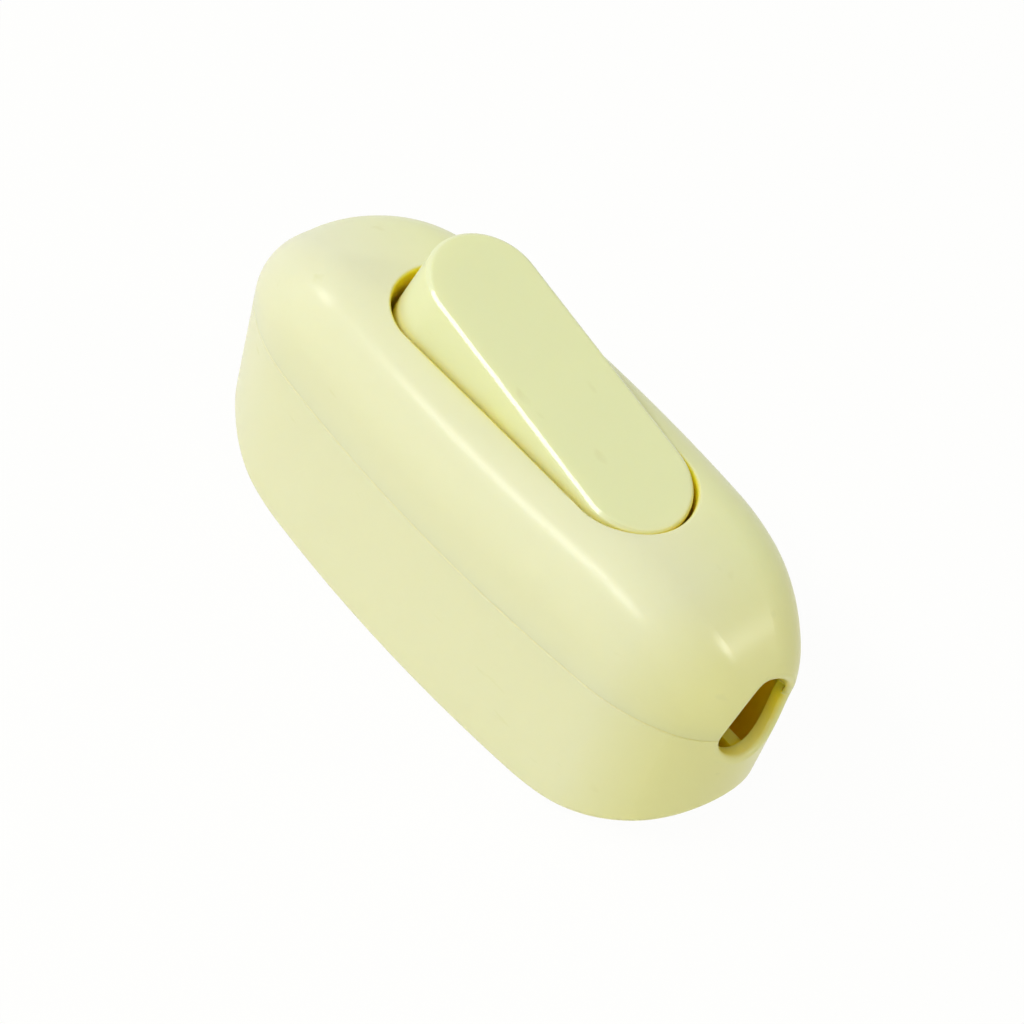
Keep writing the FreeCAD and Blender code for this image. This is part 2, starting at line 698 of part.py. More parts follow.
def make_cover():
    """Make the upper half of the housing."""
    outside = outer_form("cover_outside", True)
    open_slot(outside)
    shell = cut("cover_shell", outside, [cavity_form("cover_hollow", True)])
    collar, _ = stadium_solid(
        "collar", COLLAR_LENGTH, COLLAR_WIDTH, f"{TOP} - dims.collar_depth", f"{TOP} - dims.wall / 2"
    )
    bosses = diagonal(
        lambda name, place: cylinder(name, "dims.boss_radius", (*place, JOINT), f"{BOSS_TOP} - {JOINT}"),
        "cover_boss",
    )
    slot, _ = stadium_solid(
        "slot_cut",
        "dims.slot_length",
        "dims.slot_width",
        f"{TOP} - dims.collar_depth - {MARGIN}",
        f"{TOP} - dims.slot_edge_radius",
    )
    pilots = diagonal(
        lambda name, place: cylinder(
            name,
            "dims.screw_radius + dims.thread_gap",
            (*place, f"{JOINT} - {MARGIN}"),
            f"{BOSS_TOP} - dims.boss_roof - {JOINT} + {MARGIN}",
        ),
        "cover_pilot",
    )
    bearing = cylinder(
        "trunnion_bearing",
        "dims.trunnion_radius + dims.trunnion_gap",
        (NOTHING, minus(f"{COLLAR_WIDTH} / 2"), PIVOT_Z),
        COLLAR_WIDTH,
        "Y",
    )
    rebate_top = f"{JOINT} + dims.lip_height + dims.lip_gap"
    rebate = plan_ring("cover_rebate", REBATE_INSET, REBATE_END, f"{JOINT} - {MARGIN}", rebate_top)
    fittings = common("cover_inside", [fuse("cover_fittings", [collar, *bosses]), outside])
    body = fuse("cover_body", [shell, fittings])
    return cut("cover", body, [slot, bearing, rebate, *pilots, *cord_holes("cover_cord_hole")])


def make_base():
    """Make the lower half of the housing."""
    outside = outer_form("base_outside", False)
    shell = cut("base_shell", outside, [cavity_form("base_hollow", False)])
    inside = f"{FLOOR} / 2"
    lip = plan_ring("base_lip", LIP_INSET, "dims.wall", f"{JOINT} - {MARGIN}", f"{JOINT} + dims.lip_height")
    pillars = diagonal(
        lambda name, place: cylinder(name, PILLAR_RADIUS, (*place, inside), f"{JOINT} - {inside}"), "pillar"
    )
    boss_foot = f"2 * {FLOOR}"
    clamp_bosses = at_clamp_screws(
        lambda name, place: cylinder(
            name, "dims.clamp_width / 2", (*place, boss_foot), f"{CLAMP_Z} - {boss_foot}"
        ),
        "clamp_boss",
    )
    saddles = []
    ribs = []
    for name, middle, tip in (
        ("front", CLAMP_X, f"({HALF_LENGTH} - dims.wall / 2)"),
        ("rear", minus(CLAMP_X), minus(f"({HALF_LENGTH} - dims.wall / 2)")),
    ):
        thickness = (f"{middle} - dims.saddle_thickness / 2", f"{middle} + dims.saddle_thickness / 2")
        limits = (middle, tip) if name == "front" else (tip, middle)
        saddles.append(box(name + "_saddle", thickness, centred(f"2 * {CLAMP_Y}"), (FLOOR, SADDLE_TOP)))
        ribs.append(box(name + "_rib", limits, centred("dims.rib_thickness"), (FLOOR, RIB_TOP)))
    plinth_length = centred(f"2 * {PLATE_END}")
    plinth = box("terminal_plinth", plinth_length, centred("dims.plate_width"), (inside, TERMINAL_Z))
    shelf = (LINK_INNER, f"{LINK_OUTER} + dims.wall")
    link_seat = box("link_plinth", centred("dims.link_length"), shelf, (inside, "dims.link_seat"))
    stop_inner = "(dims.link_length / 2 + dims.link_stop / 2)"
    stop_outer = f"({stop_inner} + dims.link_stop)"
    stop_height = (inside, "dims.link_seat + dims.link_stop")
    stops = [
        box("front_link_stop", (stop_inner, stop_outer), shelf, stop_height),
        box("rear_link_stop", (minus(stop_outer), minus(stop_inner)), shelf, stop_height),
    ]
    passages = diagonal(
        lambda name, place: cylinder(
            name, "dims.screw_radius + dims.thread_gap", (*place, NOTHING), f"{JOINT} + {MARGIN}"
        ),
        "screw_passage",
    )
    recesses = diagonal(
        lambda name, place: cylinder(
            name, RECESS_RADIUS, (*place, f"-{MARGIN}"), f"dims.screw_recess + {MARGIN}"
        ),
        "screw_recess",
    )
    pilots = at_clamp_screws(
        lambda name, place: cylinder(
            name,
            "dims.clamp_screw_radius + dims.thread_gap",
            (*place, f"{CLAMP_TOP} - dims.clamp_screw_length - dims.thread_gap"),
            "dims.clamp_screw_length + dims.thread_gap",
        ),
        "clamp_pilot",
    )
    wells = [
        cylinder(
            f"terminal_well_{index}",
            "dims.terminal_screw_radius + dims.thread_gap",
            (place, NOTHING, f"{TERMINAL_TIP} - dims.thread_gap"),
            f"{PLATE_TOP} - {TERMINAL_TIP}",
        )
        for index, place in enumerate(("dims.terminal_screw_x", minus("dims.terminal_screw_x")))
    ]
    fittings = fuse("base_fittings", [*pillars, *saddles, *ribs, plinth, link_seat, *stops])
    body = fuse("base_body", [shell, lip, common("base_inside", [fittings, outside]), *clamp_bosses])
    tools = [*passages, *recesses, *pilots, *wells, *cord_holes("base_cord_hole")]
    return cut("base", body, tools)


def make_rocker():
    """Make the rocker with its trunnions and the stem that guides the plunger."""
    body = new_body("rocker_form")
    skirt = new_sketch(body, "XY_Plane", "-dims.rocker_skirt")
    draw_stadium(skirt, f"{ROCKER_LENGTH} + 2 * dims.rocker_flare", ROCKER_WIDTH)
    face = new_sketch(body, "XY_Plane", "dims.rocker_rise")
    draw_stadium(face, ROCKER_LENGTH, ROCKER_WIDTH)
    block = loft(body, face, skirt)
    rim = face_edges(block.Shape, lambda side: side.BoundBox.ZMin > 0)
    round_edges(body, block, rim, "dims.rocker_edge_radius")
    ceiling = "(dims.rocker_rise - dims.rocker_face)"
    hollow, _ = stadium_solid(
        "rocker_hollow",
        f"{ROCKER_LENGTH} - 2 * dims.rocker_wall",
        f"{ROCKER_WIDTH} - 2 * dims.rocker_wall",
        f"-dims.rocker_skirt - {MARGIN}",
        ceiling,
    )
    shell = cut("rocker_shell", body, [hollow])
    stem = cylinder(
        "rocker_stem",
        "dims.stem_radius",
        (NOTHING, NOTHING, "-dims.stem_length"),
        f"dims.stem_length + {ceiling} + dims.rocker_face / 2",
    )
    web_height = ("-dims.rocker_skirt", f"{ceiling} + dims.rocker_face / 2")
    inner_width = f"({ROCKER_WIDTH} - dims.rocker_wall)"
    cross_web = box("rocker_web", centred("2 * dims.trunnion_radius"), centred(inner_width), web_height)
    trunnions = cylinder(
        "rocker_trunnions",
        "dims.trunnion_radius",
        (NOTHING, minus(f"{COLLAR_WIDTH} / 2 - dims.trunnion_gap"), NOTHING),
        f"{COLLAR_WIDTH} - 2 * dims.trunnion_gap",
        "Y",
    )
    bore = cylinder(
        "plunger_bore",
        BORE_RADIUS,
        (NOTHING, NOTHING, f"-dims.stem_length - {MARGIN}"),
        f"dims.stem_length + {MARGIN}",
    )
    rocker = cut("rocker", fuse("rocker_body", [shell, stem, cross_web, trunnions]), [bore])
    lean(rocker, "dims.rocker_tilt", PIVOT_Z)
    return rocker


def make_plunger():
    """Make the plunger with its round tip."""
    tip = doc.addObject("Part::Sphere", "plunger_tip")
    tip_z = "(dims.plunger_radius - dims.plunger_reach)"
    bind(tip, {"Radius": "dims.plunger_radius", "Placement.Base.z": tip_z})
    shaft = cylinder(
        "plunger_shaft", "dims.plunger_radius", (NOTHING, NOTHING, tip_z), f"{PLUNGER_TOP} - {tip_z}"
    )
    plunger = fuse("plunger", [shaft, tip])
    lean(plunger, "dims.rocker_tilt", PIVOT_Z)
    return plunger


def make_spring():
    """Make the spring between the plunger and the end of its bore."""
    margin = "(dims.spring_wire + dims.spring_end_gap)"
    height = f"(-({PLUNGER_TOP}) - 2 * {margin})"
    coil = doc.addObject("Part::Helix", "spring_path")
    bind(
        coil,
        {
            "Radius": "dims.spring_radius",
            "Height": height,
            "Pitch": f"{height} / dims.spring_turns",
            "Placement.Base.z": f"{PLUNGER_TOP} + {margin}",
        },
    )
    wire = doc.addObject("Part::Circle", "spring_section")
    wire.Placement = FreeCAD.Placement(FreeCAD.Vector(), TURNS["Y"])
    bind(
        wire,
        {
            "Radius": "dims.spring_wire",
            "Placement.Base.x": "dims.spring_radius",
            "Placement.Base.z": f"{PLUNGER_TOP} + {margin}",
        },
    )
    doc.recompute()
    spring = doc.addObject("Part::Sweep", "plunger_spring")
    spring.Sections = [wire]
    spring.Spine = (coil, ["Edge1"])
    spring.Solid = True
    spring.Frenet = True
    lean(spring, "dims.rocker_tilt", PIVOT_Z)
    return spring


def make_lever():
    """Make the see-saw lever: two raised arms on a round cross pin."""
    arms = []
    for name, limits, rise in (
        ("front_arm", (NOTHING, "dims.lever_arm"), "-dims.lever_bend"),
        ("rear_arm", ("-dims.lever_arm", NOTHING), "dims.lever_bend"),
    ):
        height = (LEVER_UNDERSIDE, "dims.pin_drop")
        blank = box(name + "_blank", limits, centred("dims.lever_width"), height)
        arm = fuse_one(name, blank)
        lean(arm, rise, NOTHING)
        arms.append(arm)
    pin_start = (NOTHING, minus("dims.pin_length / 2"), NOTHING)
    pin = cylinder("lever_pin", "dims.pin_radius", pin_start, "dims.pin_length", "Y")
    hole = fuse_one("rivet_hole", rear_arm_bar("rivet_hole_bar", "dims.contact_shank + dims.thread_gap"))
    lean(hole, "dims.lever_bend", NOTHING)
    lever = cut("contact_lever", fuse("lever_body", [*arms, pin]), [hole])
    lean(lever, "-dims.lever_tilt", LEVER_Z)
    return lever


def fuse_one(name, item):
    """Wrap one solid, so that it can be turned about the lever's axis."""
    wrapper = doc.addObject("Part::Compound", name)
    wrapper.Links = [item]
    return wrapper


def rear_arm_bar(name, radius):
    """Make a round bar through the rear arm where the contact sits."""
    start = ("-dims.contact_reach", NOTHING, f"{LEVER_UNDERSIDE} - {MARGIN}")
    return cylinder(name, radius, start, f"dims.lever_thickness + 2 * {MARGIN}")


def make_moving_contact():
    """Make the contact rivet below the rear arm of the lever."""
    head = cylinder(
        "moving_head",
        "dims.contact_radius",
        ("-dims.contact_reach", NOTHING, f"{LEVER_UNDERSIDE} - dims.contact_height"),
        "dims.contact_height",
    )
    shank_start = ("-dims.contact_reach", NOTHING, LEVER_UNDERSIDE)
    shank = cylinder("moving_shank", "dims.contact_shank", shank_start, "dims.lever_thickness")
    contact = fuse("moving_contact", [head, shank])
    lean(contact, f"{CLOSED_SLOPE}", LEVER_Z)
    return contact


def make_line_in():
    """Make the plate that carries the lever, with its ears and stop tab."""
    plate_height = (TERMINAL_Z, PLATE_TOP)
    plate_run = (minus("dims.ear_length / 2"), PLATE_END)
    plate = box("line_in_plate", plate_run, centred("dims.plate_width"), plate_height)
    wings = box("line_in_wings", centred("dims.ear_length"), centred(f"2 * {EAR_OUTER}"), plate_height)
    ear_top = f"{LEVER_Z} + dims.pin_radius"
    ear_height = (TERMINAL_Z, ear_top)
    far_ear = box("far_ear", centred("dims.ear_length"), (EAR_INNER, EAR_OUTER), ear_height)
    near_span = (minus(EAR_OUTER), minus(EAR_INNER))
    near_ear = box("near_ear", centred("dims.ear_length"), near_span, ear_height)
    tab_x = (CONTACT_INNER, f"{CONTACT_INNER} + dims.tab_thickness")
    tab = box("stop_tab", tab_x, centred("dims.lever_width / 2"), (TERMINAL_Z, TAB_TOP))
    notch_radius = "(dims.pin_radius + dims.pin_gap)"
    ear_span = centred(f"2 * {EAR_OUTER}")
    seat = cylinder("pin_seat", notch_radius, (NOTHING, minus(EAR_OUTER), LEVER_Z), f"2 * {EAR_OUTER}", "Y")
    mouth = box("pin_mouth", centred(f"2 * {notch_radius}"), ear_span, (LEVER_Z, f"{ear_top} + {MARGIN}"))
    hole = terminal_hole("line_in_hole", "dims.terminal_screw_x")
    body = fuse("line_in_body", [plate, wings, far_ear, near_ear, tab])
    return cut("line_in_terminal", body, [seat, mouth, hole])


def terminal_hole(name, place):
    """Make a cutter for a terminal screw's hole in its plate."""
    return cylinder(
        name,
        "dims.terminal_screw_radius + dims.thread_gap",
        (place, NOTHING, f"{TERMINAL_Z} - {MARGIN}"),
        f"dims.plate_thickness + 2 * {MARGIN}",
    )


def make_line_out():
    """Make the plate that carries the fixed contact."""
    plate = box(
        "line_out_plate",
        (minus(PLATE_END), minus(f"{CONTACT_INNER} - dims.plate_thickness")),
        centred("dims.plate_width"),
        (TERMINAL_Z, PLATE_TOP),
    )
    rivet_hole = cylinder(
        "fixed_rivet_hole",
        "dims.contact_shank + dims.thread_gap",
        (minus(CONTACT_X), NOTHING, f"{TERMINAL_Z} - {MARGIN}"),
        f"dims.plate_thickness + 2 * {MARGIN}",
    )
    screw_hole = terminal_hole("line_out_hole", minus("dims.terminal_screw_x"))
    return cut("line_out_terminal", plate, [rivet_hole, screw_hole])


def make_fixed_contact():
    """Make the contact rivet on the line-out plate."""
    place = (minus(CONTACT_X), NOTHING)
    head = cylinder("fixed_head", "dims.contact_radius", (*place, PLATE_TOP), f"{FIXED_TOP} - {PLATE_TOP}")
    shank = cylinder("fixed_shank", "dims.contact_shank", (*place, TERMINAL_Z), "dims.plate_thickness")
    return fuse("fixed_contact", [head, shank])


def slotted_screw(name, place, seat, shank, head, upward=True):
    """Make a screw with a slotted head, from its seat and two pairs of radius and length."""
    shank_radius, shank_length = shank
    head_radius, head_height = head
    across, along = place
    shank_z = f"({seat}) - ({shank_length})" if upward else seat
    head_z = seat if upward else f"({seat}) - ({head_height})"
    slot_z = f"({seat}) + ({head_height}) - dims.slot_cut_depth" if upward else f"({head_z}) - {MARGIN}"
    solid = fuse(
        name + "_solid",
        [
            cylinder(name + "_shank", shank_radius, (across, along, shank_z), shank_length),
            cylinder(name + "_head", head_radius, (across, along, head_z), head_height),
        ],
    )
    slot = box(
        name + "_slot",
        (f"{across} - ({head_radius}) - {MARGIN}", f"{across} + ({head_radius}) + {MARGIN}"),
        (f"{along} - dims.slot_cut / 2", f"{along} + dims.slot_cut / 2"),
        (slot_z, f"({slot_z}) + dims.slot_cut_depth + {MARGIN}"),
    )
    return cut(name, solid, [slot])


def make_terminal_fixings():
    """Make the washers and screws of the two line terminals."""
    washers = []
    screws = []
    for index, place in enumerate(("dims.terminal_screw_x", minus("dims.terminal_screw_x"))):
        half = "dims.washer_width / 2"
        blank = box(
            f"washer_{index}_blank",
            (f"{place} - {half}", f"{place} + {half}"),
            centred("dims.washer_width"),
            (PLATE_TOP, f"{PLATE_TOP} + dims.washer_thickness"),
        )
        hole = cylinder(
            f"washer_{index}_hole",
            "dims.terminal_screw_radius + dims.thread_gap",
            (place, NOTHING, f"{PLATE_TOP} - {MARGIN}"),
            f"dims.washer_thickness + 2 * {MARGIN}",
        )
        washers.append(cut(f"washer_{index}", blank, [hole]))
        screws.append(
            slotted_screw(
                f"terminal_screw_{index}",
                (place, NOTHING),
                f"{PLATE_TOP} + dims.washer_thickness",
                ("dims.terminal_screw_radius", "dims.terminal_screw_length"),
                ("dims.terminal_head_radius", "dims.terminal_head_height"),
            )
        )
    return group("terminal_washers", washers), group("terminal_screws", screws)


def make_neutral_link():
    """Make the through-connector for the unswitched wire, and its screws."""
    height = ("dims.link_seat", LINK_TOP)
    block = box("link_block", centred("dims.link_length"), (LINK_INNER, LINK_OUTER), height)
    middle = "(dims.link_seat + dims.link_height / 2)"
    wire_hole = cylinder(
        "link_wire_hole",
        "dims.link_bore",
        (minus(f"dims.link_length / 2 + {MARGIN}"), LINK_Y, middle),
        f"dims.link_length + 2 * {MARGIN}",
        "X",
    )
    reach = "(dims.link_height / 2 - dims.link_bore / 2)"
    holes = []
    screws = []
    for index, place in enumerate(("dims.link_screw_x", minus("dims.link_screw_x"))):
        hole_radius = "dims.link_screw_radius + dims.thread_gap"
        start = (place, LINK_Y, middle)
        holes.append(cylinder(f"link_hole_{index}", hole_radius, start, "dims.link_height"))
        screws.append(
            slotted_screw(
                f"link_screw_{index}",
                (place, LINK_Y),
                LINK_TOP,
                ("dims.link_screw_radius", reach),
                ("dims.link_head_radius", "dims.link_head_height"),
            )
        )
    return cut("neutral_link", block, [wire_hole, *holes]), group("neutral_screws", screws)


def make_clamp(name, middle):
    """Make one clamp bar with a gripping ridge below."""
    half = "dims.clamp_width / 2"
    height = (CLAMP_Z, CLAMP_TOP)
    limits = (f"{middle} - {half}", f"{middle} + {half}")
    bar = box(name + "_bar", limits, centred(f"2 * {CLAMP_Y}"), height)
    ends = []
    holes = []
    for index, side in enumerate((CLAMP_Y, minus(CLAMP_Y))):
        ends.append(cylinder(f"{name}_end_{index}", half, (middle, side, CLAMP_Z), "dims.clamp_thickness"))
        holes.append(
            cylinder(
                f"{name}_hole_{index}",
                "dims.clamp_screw_radius + dims.thread_gap",
                (middle, side, f"{CLAMP_Z} - {MARGIN}"),
                f"dims.clamp_thickness + 2 * {MARGIN}",
            )
        )
    ridge = box(
        name + "_ridge",
        (f"{middle} - {half} / 2", f"{middle} + {half} / 2"),
        centred(f"{CLAMP_Y} + dims.clamp_ridge"),
        (f"{CLAMP_Z} - dims.clamp_ridge", CLAMP_TOP),
    )
    return cut(name, fuse(name + "_body", [bar, *ends, ridge]), holes)


def make_clamp_screws():
    """Make the four screws of the two clamp bars."""
    screws = at_clamp_screws(
        lambda name, place: slotted_screw(
            name,
            place,
            CLAMP_TOP,
            ("dims.clamp_screw_radius", "dims.clamp_screw_length"),
            ("dims.clamp_head_radius", "dims.clamp_head_height"),
        ),
        "clamp_screw",
    )
    return group("clamp_screws", screws)


def make_housing_screws():
    """Make the two screws that hold the halves together, from below."""
    screws = diagonal(
        lambda name, place: slotted_screw(
            name,
            place,
            "dims.screw_recess",
            ("dims.screw_radius", f"{BOSS_TOP} - dims.screw_tip_gap - dims.screw_recess"),
            ("dims.screw_head_radius", "dims.screw_head_height"),
            upward=False,
        ),
        "housing_screw",
    )
    return group("housing_screws", screws)


def check(item):
    """Stop if a piece was not built."""
    doc.recompute()
    if {"Invalid", "Error"} & set(item.State):
        raise RuntimeError(f"{item.Label} has errors: {item.State}")
    if item.Shape.isNull() or not item.Shape.isValid():
        raise RuntimeError(f"{item.Label} has no valid shape")


def main():
    """Build every piece and write it out."""
    washers, terminal_screws = make_terminal_fixings()
    neutral_link, neutral_screws = make_neutral_link()
    pieces = [
        make_cover(),
        make_base(),
        make_rocker(),
        make_plunger(),
        make_spring(),
        make_lever(),
        make_moving_contact(),
        make_fixed_contact(),
        make_line_in(),
        make_line_out(),
        washers,
        terminal_screws,
        neutral_link,
        neutral_screws,
        make_clamp("front_cord_clamp", CLAMP_X),
        make_clamp("rear_cord_clamp", minus(CLAMP_X)),
        make_clamp_screws(),
        make_housing_screws(),
    ]
    doc.recompute()
    for item in doc.Objects:
        if {"Invalid", "Error"} & set(item.State):
            raise RuntimeError(f"{item.Label} has errors: {item.State}")
        if item.isDerivedFrom("PartDesign::Feature") and not item.Shape.isValid():
            raise RuntimeError(f"{item.Label} has no valid shape")
    os.makedirs("parts", exist_ok=True)
    for piece in pieces:
        check(piece)
        piece.Shape.exportStep(f"parts/{piece.Label}.step")


main()
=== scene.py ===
# Looks of an inline cord switch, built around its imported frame.
# Lengths are in metres and angles in degrees, unless a name says otherwise.
import json
import math

import bpy
from mathutils import Matrix, Vector


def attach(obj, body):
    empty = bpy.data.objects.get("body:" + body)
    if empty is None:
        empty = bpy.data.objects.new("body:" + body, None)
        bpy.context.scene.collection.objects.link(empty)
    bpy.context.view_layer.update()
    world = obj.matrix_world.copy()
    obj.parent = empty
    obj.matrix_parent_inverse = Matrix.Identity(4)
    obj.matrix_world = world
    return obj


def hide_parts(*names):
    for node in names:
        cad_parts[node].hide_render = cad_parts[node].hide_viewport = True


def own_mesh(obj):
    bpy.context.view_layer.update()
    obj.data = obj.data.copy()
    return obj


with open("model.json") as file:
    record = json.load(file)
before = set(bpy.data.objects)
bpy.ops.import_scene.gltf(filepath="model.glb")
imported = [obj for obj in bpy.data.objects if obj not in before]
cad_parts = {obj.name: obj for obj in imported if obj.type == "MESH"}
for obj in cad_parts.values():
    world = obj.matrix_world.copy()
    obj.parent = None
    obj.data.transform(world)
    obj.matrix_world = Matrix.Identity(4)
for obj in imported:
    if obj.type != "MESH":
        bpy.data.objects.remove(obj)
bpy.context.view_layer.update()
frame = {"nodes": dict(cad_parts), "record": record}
nodes = frame["nodes"]

# The photograph's camera
IMAGE_SIDE_PX = 1024
FOCAL_LENGTH_PX = 2293.4
PRINCIPAL_X_PX = 506.1
PRINCIPAL_Y_PX = 498.8
SENSOR_WIDTH_MM = 36.0
CAMERA_AZIMUTH = 34.02
CAMERA_ELEVATION = 46.88
CAMERA_ROLL = 18.91
CAMERA_DISTANCE = 0.19213
NEAREST_SEEN = 0.0019213
LOOK_AT = Vector((0.0, 0.0, 0.01313))

# Studio
WHITE = (1.0, 1.0, 1.0, 1.0)
FLOOR_SIDE = 6.0
FLOOR_HEIGHT = -0.0001
FLOOR_COLOUR = (0.9, 0.88, 0.66, 1.0)
FLOOR_WHITENESS = 0.96
SURROUND_BRIGHT = (0.495, 0.51, 0.47, 1.0)
SURROUND_DIM = (0.3, 0.29, 0.03, 1.0)
DIM_SIDE_AZIMUTH = 110.0
DIM_SIDE_ELEVATION = 0.0
DIM_SIDE_START = -0.05
LIGHT_DISTANCE = 0.7

# Tones of the plastic outside
HOUSING_LIGHT = (0.81, 0.8, 0.55, 1.0)
HOUSING_DEEP = (0.8, 0.79, 0.535, 1.0)
ROCKER_LIGHT = (0.82, 0.84, 0.515, 1.0)
ROCKER_DEEP = (0.81, 0.83, 0.5, 1.0)
FLOW_SCALE = 60.0
FLOW_DETAIL = 1.0
FLOW_STRETCH = (0.5, 1.0, 1.0)

# Painted shade: the housing's colour is painted a little deeper towards its far side and its front
# end
FAR_SHADE_TONE = (0.79, 0.8, 0.46, 1.0)
FAR_START = -0.003
FAR_FULL = 0.005
FRONT_SHADE_TONE = (0.79, 0.77, 0.41, 1.0)
FRONT_START = 0.0205
FRONT_FULL = 0.0265

# Painted shade: where little light reaches, the plastic's colour is painted golden and then amber,
# and the rocker's is painted straw
SHADE_GOLD = (0.82, 0.69, 0.1, 1.0)
SHADE_AMBER = (0.97, 0.74, 0.02, 1.0)
SHADE_STRAW = (0.95, 0.94, 0.4, 1.0)
SHADE_GOLD_SHARE = 0.5
END_START = 0.0125
END_FULL = 0.0145
HOLLOW_REACH = 0.03
HOLLOW_CLOSED = 0.65
HOLLOW_OPEN = 1.0
GAP_REACH = 0.005
GAP_CLOSED = 0.05
GAP_OPEN = 0.68
GAP_LOWEST = 0.005
GAP_FADE = 0.003
OCCLUSION_SAMPLES = 6

# How far light spreads inside the plastic
SUBSURFACE_RADIUS = (1.0, 0.85, 0.6)
SUBSURFACE_SCALE = 0.0025
SUBSURFACE_INSIDE = 1.0
SUBSURFACE_OUTSIDE = 0.3

# The plastic's skin
PLASTIC_ROUGHNESS = 0.4
ROUGHNESS_SWING = 0.015
PATCH_SCALE = 120.0
PATCH_DETAIL = 1.0
SKIN_SCALE = 2600.0
SKIN_DETAIL = 2.0
SKIN_STRENGTH = 0.05
SKIN_DEPTH = 0.00005
SPECULAR_LEVEL = 0.15
COAT = 0.37
HOUSING_COAT_ROUGHNESS = 0.2
ROCKER_COAT_ROUGHNESS = 0.1

# Faint scuffs from handling
SCUFF_SCALE = 420.0
SCUFF_DETAIL = 2.0
SCUFF_STRETCH = (0.4, 1.0, 1.6)
SCUFF_START = 0.69
SCUFF_FULL = 0.75
SCUFF_LIFT = 0.4
SCUFF_TONE = (0.72, 0.71, 0.4, 1.0)
SCUFF_ROUGHNESS = 0.12

# The rocker's rim is moulded as a narrow facet
ROCKER_TILT = 12.7
FACET_RISE = 49.5
RIM_LOWER_LIMIT = 0.42
RIM_UPPER_LIMIT = 0.94
RIM_FADE = 0.05
RIM_COAT = 0.85

# The cord clamps lie shut in behind the cord holes, and their colour is painted golden and amber
# shade
CLAMP_NODES = ("front_cord_clamp", "rear_cord_clamp")
CLAMP_SHADE_FINISH = "clamp_shade_plastic"

# The metal's grain and stains
STAIN_SCALE = 350.0
STAIN_DETAIL = 4.0
GRAIN_DETAIL = 3.0
GRAIN_STRENGTH = 0.1
GRAIN_DEPTH = 0.00002
GRAIN_SMOOTHEST = -0.06
GRAIN_ROUGHEST = 0.1

# The part of a noise's range that its values mostly fill
NOISE_LOW = 0.3
NOISE_HIGH = 0.7
UNSTRETCHED = (1.0, 1.0, 1.0)


def direction(azimuth, elevation):
    """Point from the object towards an azimuth and an elevation."""
    turn = math.radians(azimuth)
    rise = math.radians(elevation)
    level = math.cos(rise)
    return Vector((math.sin(turn) * level, -math.cos(turn) * level, math.sin(rise)))


def make_camera():
    """Place the camera where the photograph was taken from."""
    turn = math.radians(CAMERA_AZIMUTH)
    roll = math.radians(CAMERA_ROLL)
    back = direction(CAMERA_AZIMUTH, CAMERA_ELEVATION)
    right = Vector((math.cos(turn), math.sin(turn), 0.0))
    up = back.cross(right)
    rolled_right = math.cos(roll) * right + math.sin(roll) * up
    rolled_up = math.cos(roll) * up - math.sin(roll) * right
    facing = Matrix((rolled_right, rolled_up, back)).transposed().to_4x4()
    camera = bpy.data.objects.new("camera", bpy.data.cameras.new("camera"))
    bpy.context.scene.collection.objects.link(camera)
    camera.matrix_world = Matrix.Translation(LOOK_AT + back * CAMERA_DISTANCE) @ facing
    camera.data.sensor_width = SENSOR_WIDTH_MM
    camera.data.lens = FOCAL_LENGTH_PX / IMAGE_SIDE_PX * SENSOR_WIDTH_MM
    camera.data.shift_x = (IMAGE_SIDE_PX / 2 - PRINCIPAL_X_PX) / IMAGE_SIDE_PX
    camera.data.shift_y = (PRINCIPAL_Y_PX - IMAGE_SIDE_PX / 2) / IMAGE_SIDE_PX
    camera.data.clip_start = NEAREST_SEEN
    bpy.context.scene.camera = camera


def make_softbox(name, azimuth, elevation, width, height, power, colour=WHITE[:3]):
    """Hang a rectangular soft light that faces the object."""
    lamp = bpy.data.lights.new(name, "AREA")
    lamp.shape = "RECTANGLE"
    lamp.size = width
    lamp.size_y = height
    lamp.energy = power
    lamp.color = colour
    holder = bpy.data.objects.new(name, lamp)
    bpy.context.scene.collection.objects.link(holder)
    towards = direction(azimuth, elevation)
    holder.location = LOOK_AT + towards * LIGHT_DISTANCE
    holder.rotation_euler = towards.to_track_quat("Z", "Y").to_euler()


def make_lights():
    """Hang a wide key light before the object and two small lights beside and behind it."""
    make_softbox(
        "key_light",
        azimuth=-11.0,
        elevation=50.0,
        width=0.6,
        height=0.12,
        power=2.65,
        colour=(0.96, 0.97, 1.0),
    )
    make_softbox(
        "left_light",
        azimuth=-66.0,
        elevation=28.0,
        width=0.13,
        height=0.13,
        power=0.47,
    )
    make_softbox(
        "rear_light",
        azimuth=128.0,
        elevation=34.0,
        width=0.1,
        height=0.1,
        power=0.72,
        colour=(1.0, 0.99, 0.93),
    )


def feed(tree, socket, value):
    """Link a socket to another one, or set it to a fixed value."""
    if isinstance(value, bpy.types.NodeSocket):
        tree.links.new(value, socket)
    else:
        socket.default_value = value


def add(tree, kind, settings=None, **inputs):
    """Add one shader node, with its settings and the values or links of its inputs."""
    node = tree.nodes.new(kind)
    for name, value in (settings or {}).items():
        setattr(node, name, value)
    for name, value in inputs.items():
        feed(tree, node.inputs[name.replace("_", " ")], value)
    return node


def work_out(tree, kind, settings, values):
    """Add a node that turns some values into one, and give back its result."""
    node = add(tree, kind, settings)
    sockets = [socket for socket in node.inputs if socket.enabled]
    for socket, value in zip(sockets, values):
        feed(tree, socket, value)
    return next(socket for socket in node.outputs if socket.enabled)


def number_math(tree, operation, *values):
    """Combine numbers."""
    return work_out(tree, "ShaderNodeMath", {"operation": operation}, values)


def vector_math(tree, operation, *values):
    """Combine vectors."""
    return work_out(tree, "ShaderNodeVectorMath", {"operation": operation}, values)


def blend_colours(tree, share, first, second):
    """Mix two colours by a share."""
    return work_out(tree, "ShaderNodeMix", {"data_type": "RGBA"}, (share, first, second))


def blend_vectors(tree, share, first, second):
    """Mix two vectors by a share."""
    return work_out(tree, "ShaderNodeMix", {"data_type": "VECTOR"}, (share, first, second))


